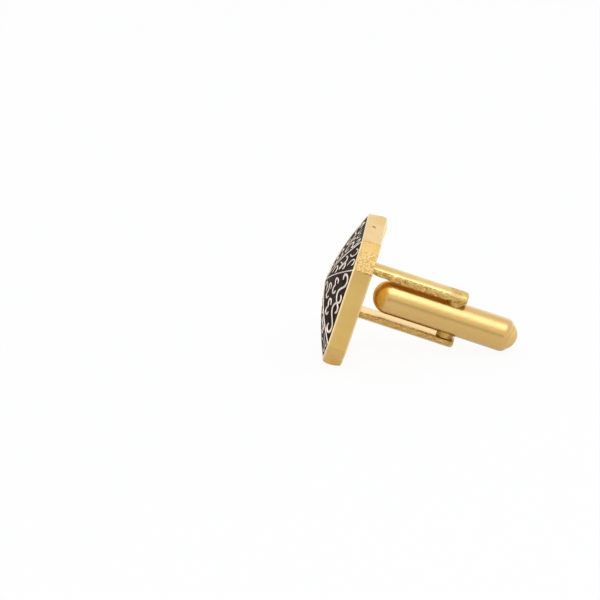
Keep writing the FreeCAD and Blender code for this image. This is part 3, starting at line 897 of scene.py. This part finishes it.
def post(name, node, up):
    """A post: its section drawn out along y, narrowed at the end, then torn along its sides."""
    low, high = link_box(node)
    inner, outer = (low.z, high.z) if up > 0 else (2 * POST_RISE - high.z, 2 * POST_RISE - low.z)
    half = high.x
    bm = bmesh.new()
    end = post_section(bm, low.y, half, inner, outer)
    shoulder = high.y - END_ROUND
    places = [low.y + (shoulder - low.y) * count / POST_STEPS for count in range(1, POST_STEPS + 1)]
    turns = [math.pi / 2 * count / END_STEPS for count in range(1, END_STEPS + 1)]
    places += [shoulder + END_ROUND * math.sin(a) for a in turns]
    before = 1
    for place in places:
        end, verts = drawn_out(bm, end)
        kept = math.sqrt(max(0, 1 - (max(0, place - shoulder) / END_ROUND) ** 2))
        limit = half - END_ROUND * (1 - kept)
        height = 1 - END_FALL * (1 - kept)
        for v in verts:
            v.co = max(-limit, min(limit, v.co.x)), place, inner + (v.co.z - inner) * height / before
        before = height
    bmesh.ops.bevel(
        bm, geom=end.edges[:], offset=POST_ROUND / 2, segments=2, profile=0.5,
        affect="EDGES", material=-1,
    )
    for v in bm.verts:
        lump = abs(noise.fractal(v.co * LUMP_PITCH + Vector((0, 0, LUMP_SHIFT * up)), *LUMP_GRAIN))
        beside = ramp(abs(v.co.x), half - SIDE_REACH, half)
        v.co.x -= math.copysign(SIDE_LUMP * beside * lump, v.co.x)
        if v.co.z < inner + POST_ROUND:
            v.co.z += CORNER_LUMP * beside * lump
            if up > 0:
                along = ramp(v.co.y, 0, BURR_START)
                v.co.z -= BURR_DROP * along * ramp(abs(v.co.x), half - BURR_FOOT, half - BURR_FULL)
        if v.co.z > outer - POST_CROWN:
            v.co.z -= CROWN_LUMP * lump
        if up < 0:
            v.co.z = 2 * POST_RISE - v.co.z
    bmesh.ops.recalc_face_normals(bm, faces=bm.faces)
    made = piece(name, bm, "link_frame", "satin_gold", "post_gold", SOFT_BEND)
    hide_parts(node)


def arc(centre, radius, start, stop, steps):
    """Points of a turned outline's arc, as (along, outward), between two angles from the axis."""
    along, outward = centre
    angles = [math.radians(start + (stop - start) * k / steps) for k in range(steps + 1)]
    return [(along + radius * math.cos(a), outward + radius * math.sin(a)) for a in angles]


def straight(start, stop, steps):
    """Points along a straight stretch of an outline, without its two ends."""
    return [
        tuple(a + (b - a) * k / steps for a, b in zip(start, stop))
        for k in range(1, steps)
    ]


def turned(outline, axis="y", steps=TURN_STEPS):
    """A closed turned shape about the toggle's axis, or about the pivot's."""
    bm = bmesh.new()
    if axis == "y":
        places = [(0, along, outward) for along, outward in outline]
        spin = {"cent": (0, 0, 0), "axis": (0, 1, 0)}
    else:
        places = [(outward, 0, along) for along, outward in outline]
        spin = {"cent": (0, 0, 0), "axis": (0, 0, 1)}
    verts = [bm.verts.new(place) for place in places]
    edges = [bm.edges.new(pair) for pair in zip(verts, verts[1:])]
    bmesh.ops.spin(bm, geom=verts + edges, angle=2 * math.pi, steps=steps, use_merge=True, **spin)
    bmesh.ops.remove_doubles(bm, verts=bm.verts, dist=1e-5)
    bmesh.ops.recalc_face_normals(bm, faces=bm.faces)
    return bm


def barrel():
    """The toggle's barrel, turned, then spot-faced and drilled across for the pin."""
    low, high = link_box("toggle_barrel")
    radius = high.x
    mouth = high.y
    pivot = LINK.inverted() @ Vector(named(frame["joints"], "toggle_swivel")["pos_m"])
    seat = mouth - MOUTH_DEPTH
    bottom = pivot.y - BORE_PAST_PIN
    bore = radius - BARREL_WALL
    mouth_bore = radius - MOUTH_WALL
    roll = math.sqrt(2 * MOUTH_ROUND * MOUTH_WALL - MOUTH_WALL ** 2)
    rolled_to = math.degrees(math.asin(1 - MOUTH_WALL / MOUTH_ROUND))
    outline = arc((low.y + radius, 0), radius, 180, 90, DOME_ARC_STEPS)
    outline += straight((low.y + radius, radius), (mouth - roll, radius), BARREL_STEPS)
    outline += arc((mouth - roll, radius - MOUTH_ROUND), MOUTH_ROUND, 90, rolled_to, MOUTH_ARC_STEPS)
    outline += [(seat, mouth_bore), (seat, bore), (bottom, bore), (bottom - DRILL_POINT, 0)]
    bm = turned(outline)
    bmesh.ops.translate(bm, verts=bm.verts, vec=(0, 0, POST_RISE))
    made = piece("swivel_barrel", bm, "toggle", "satin_gold")
    level, reach = radius - SPOT_DEPTH, radius + DRILL_PAST
    drill = [(-reach, 0), (-reach, SPOT_RADIUS), (-level, SPOT_RADIUS), (-level, PIN_HOLE)]
    drill += [(-along, outward) for along, outward in reversed(drill)]
    bm = turned(drill, "z", DRILL_STEPS)
    bmesh.ops.translate(bm, verts=bm.verts, vec=pivot)
    cutter = piece("cross_drill", bm, "toggle", "satin_gold")
    cut = made.modifiers.new("spot_faces", "BOOLEAN")
    cut.object = cutter
    cut.operation = "DIFFERENCE"
    cut.solver = "EXACT"
    done = made.evaluated_get(bpy.context.evaluated_depsgraph_get())
    mesh = bpy.data.meshes.new_from_object(done)
    made.modifiers.clear()
    made.data = mesh
    bpy.data.objects.remove(cutter)
    smooth(mesh, SHARP_BEND)
    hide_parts("toggle_barrel")


def plug():
    """The domed plug in the barrel's mouth."""
    low, high = link_box("end_plug")
    side = high.x
    radius = (side ** 2 + PLUG_RISE ** 2) / (2 * PLUG_RISE)
    lean = math.degrees(math.asin(side / radius))
    outline = [(low.y, 0), (low.y, side)]
    outline += arc((high.y - radius, 0), radius, lean, 0, PLUG_ARC_STEPS)
    bm = turned(outline)
    bmesh.ops.translate(bm, verts=bm.verts, vec=(0, 0, POST_RISE))
    made = piece("domed_plug", bm, "toggle", "polished_gold")
    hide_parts("end_plug")


def dress_kept_nodes():
    """Finishes for the nodes whose own solids show or stay hidden as they are."""
    dressed = {
        "upper_washer": "post_gold", "lower_washer": "post_gold", "pivot_pin": "post_gold",
        "detent_plunger": "bare_brass", "detent_spring": "spring_steel",
    }
    for node, finish in dressed.items():
        frame["nodes"][node].material_slots[0].material = FINISHES[finish]


def seen(shading):
    """1 for the rays that should meet a white studio: from the camera, and off or through the object."""
    camera_ray = shading.node("ShaderNodeLightPath", output="Is Camera Ray")
    return camera_ray.most(camera_ray.other("Is Glossy Ray")).most(camera_ray.other("Is Transmission Ray"))


def floor():
    """White paper, which stays white to the eye and in the metal but takes the object's shadow."""
    bm = bmesh.new()
    bmesh.ops.create_grid(bm, x_segments=1, y_segments=1, size=FLOOR_HALF)
    mesh = bpy.data.meshes.new("floor")
    bm.to_mesh(mesh)
    bm.free()
    sheet = bpy.data.objects.new("floor", mesh)
    scene.collection.objects.link(sheet)
    paper = bpy.data.materials.new("white_paper")
    shading = Shading(paper)
    matt = shading.node("ShaderNodeBsdfDiffuse", None, {"Color": FLOOR_PAPER})
    at = shading.node("ShaderNodeTexCoord", output="Object")
    x = shading.node("ShaderNodeSeparateXYZ", None, {"Vector": at})
    glossy = shading.node("ShaderNodeLightPath", output="Is Glossy Ray")
    beyond = x.other("Y").step(*LIT_RANGE)
    strength = 1 - glossy * (x.step(*DIM_RANGE) * DIM_FLOOR - beyond * LIT_FLOOR)
    glow = shading.node("ShaderNodeEmission", None, {"Strength": strength})
    white = FLOOR_WHITE - glossy * (1 - beyond) * (FLOOR_WHITE - FLOOR_GLOSS)
    look = shading.node("ShaderNodeMixShader", None, {0: seen(shading) * white, 1: matt, 2: glow})
    shading.feed(shading.tree.nodes["Material Output"].inputs["Surface"], look)
    mesh.materials.append(paper)


def surround():
    """A white surround, dimmer for plain light than to the eye, with a dim room behind the camera."""
    world = bpy.data.worlds.new("studio")
    shading = Shading(world)
    scene.world = world
    way = shading.node("ShaderNodeTexCoord", output="Generated")
    towards = shading.node(
        "ShaderNodeVectorMath", {"operation": "DOT_PRODUCT"}, {0: way, 1: (1, 0, 0)}, "Value"
    )
    room = 1 - towards.step(*ROOM_RANGE) * (1 - DIM_ROOM)
    level = seen(shading) * (1 - SURROUND) + SURROUND
    background = shading.tree.nodes["Background"]
    shading.feed(background.inputs["Color"], (1, 1, 1, 1))
    shading.feed(background.inputs["Strength"], level * room)


def softbox(name, place, width, height, level):
    """A lamp that looks at the link; level is its brightness in its middle, where white is 1."""
    place = Vector(place)
    aim = (LAMP_AIM - place).to_track_quat("-Z", "Y")
    for count, share in enumerate(SOFT_SHARES):
        lamp = bpy.data.lights.new("%s_%d" % (name, count), "AREA")
        lamp.shape = "RECTANGLE"
        lamp.color = COOL
        lamp.size = width * share
        lamp.size_y = height * share
        lamp.energy = level / len(SOFT_SHARES) * math.pi * lamp.size * lamp.size_y
        holder = bpy.data.objects.new(lamp.name, lamp)
        scene.collection.objects.link(holder)
        sheet = place * (1 - SHEET_STEP * count)
        holder.matrix_world = Matrix.Translation(sheet) @ aim.to_matrix().to_4x4()


def camera():
    """The camera, at the photograph's angle and framing."""
    a, e = CAMERA_AZIMUTH, CAMERA_ELEVATION
    back = Vector((math.sin(a) * math.cos(e), -math.cos(a) * math.cos(e), math.sin(e)))
    level = Vector((math.cos(a), math.sin(a), 0))
    upright = back.cross(level)
    right = level * math.cos(CAMERA_ROLL) + upright * math.sin(CAMERA_ROLL)
    axes = Matrix((right, back.cross(right), back)).transposed()
    lens = bpy.data.cameras.new("camera")
    lens.sensor_fit = "HORIZONTAL"
    lens.angle = CAMERA_VIEW
    lens.clip_start = CAMERA_CLIP * MM
    holder = bpy.data.objects.new("camera", lens)
    scene.collection.objects.link(holder)
    turn = (LINK.to_3x3().normalized() @ axes).to_4x4()
    holder.matrix_world = Matrix.Translation(LINK @ (CAMERA_AIM + back * CAMERA_DISTANCE)) @ turn
    scene.camera = holder


head()
for index, name in enumerate(PANELS):
    enamel(index, name, scrolls(name))
post("post_upper", "upper_post", 1)
post("post_lower", "lower_post", -1)
barrel()
plug()
dress_kept_nodes()
floor()
surround()
for lamp in SOFTBOXES:
    softbox(*lamp)
camera()
scene.view_settings.view_transform = "Standard"
